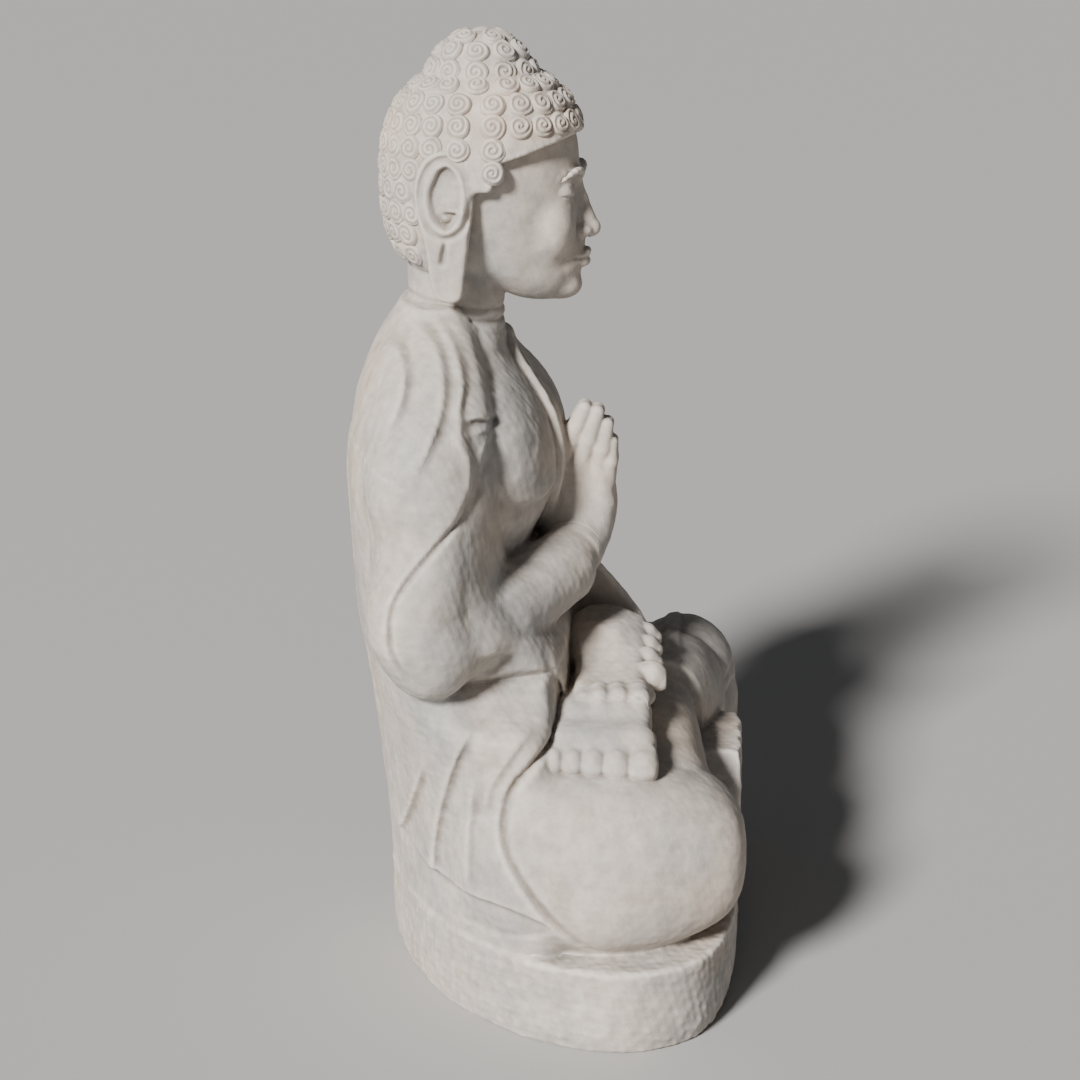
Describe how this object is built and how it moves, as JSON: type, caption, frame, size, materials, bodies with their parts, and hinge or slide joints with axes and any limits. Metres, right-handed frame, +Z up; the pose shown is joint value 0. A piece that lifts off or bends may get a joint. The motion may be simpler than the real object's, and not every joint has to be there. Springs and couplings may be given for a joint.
{
  "type": "seated buddha statue",
  "caption": "Seated stone figure with joined hands, crossed legs, draped robe and curled hair, on a low rounded plinth.",
  "frame": {"origin": "on the floor, at the middle of the figure's bounding box", "axes": "+Z up, the figure faces -Y, its own right side is at -X"},
  "size_m": [0.614, 0.4453, 1.0501],
  "materials": {
    "stone": "matte",
    "stone_hair": "rough",
    "stone_plinth": "rough"
  },
  "bodies": {
    "root": {"plinth": "stone_plinth", "robe_skirt": "stone", "robe": "stone", "torso": "stone", "robe_left_lapel": "stone", "right_sleeve": "stone", "left_sleeve": "stone", "left_sleeve_fall": "stone", "right_arm": "stone", "left_arm": "stone", "right_hand": "stone", "left_hand": "stone", "right_leg": "stone", "left_leg": "stone", "right_foot": "stone", "left_foot": "stone", "front_drapery": "stone", "neck": "stone", "head": "stone", "right_ear": "stone", "left_ear": "stone", "hair_cap": "stone_hair", "ushnisha": "stone_hair", "hair_curls": "stone_hair"}
  },
  "joints": []
}
